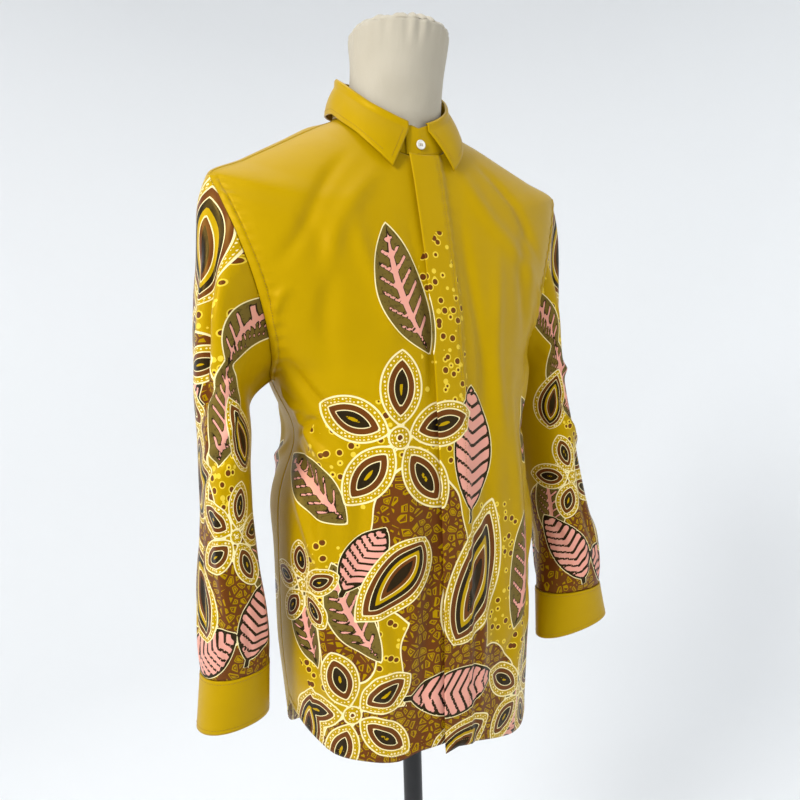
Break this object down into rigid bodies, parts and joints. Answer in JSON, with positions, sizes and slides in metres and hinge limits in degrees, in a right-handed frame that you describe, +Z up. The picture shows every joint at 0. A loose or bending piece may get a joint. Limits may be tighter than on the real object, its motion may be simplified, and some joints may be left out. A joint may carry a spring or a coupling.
{
  "type": "batik shirt on dress form",
  "caption": "Long-sleeved mustard gold batik shirt with collar and cuffs, buttoned on a limbless dress form with a round base.",
  "frame": {"origin": "centre of the base's underside, on the floor; the form's pole stands on the Z axis", "axes": "+Z up, -Y the wearer's front, -X the wearer's right"},
  "size_m": [0.5752, 0.38, 1.5641],
  "materials": {
    "batik_cloth": "satin",
    "pearl_button": "pearl",
    "form_canvas": "plain canvas",
    "black_metal": "satin black"
  },
  "bodies": {
    "root": {"right_front": "batik_cloth", "left_front": "batik_cloth", "fly_underlay": "batik_cloth", "back": "batik_cloth", "yoke": "batik_cloth", "right_sleeve": "batik_cloth", "left_sleeve": "batik_cloth", "right_cuff": "batik_cloth", "left_cuff": "batik_cloth", "collar_stand": "batik_cloth", "collar_fall": "batik_cloth", "fly_button_1": "pearl_button", "fly_button_2": "pearl_button", "fly_button_3": "pearl_button", "fly_button_4": "pearl_button", "fly_button_5": "pearl_button", "fly_button_6": "pearl_button", "fly_button_7": "pearl_button", "collar_button": "pearl_button", "right_cuff_button": "pearl_button", "left_cuff_button": "pearl_button", "form_torso": "form_canvas", "form_neck_cap": "form_canvas", "form_plate": "black_metal", "pole": "black_metal", "pole_socket": "black_metal", "base_disc": "black_metal"}
  },
  "joints": []
}
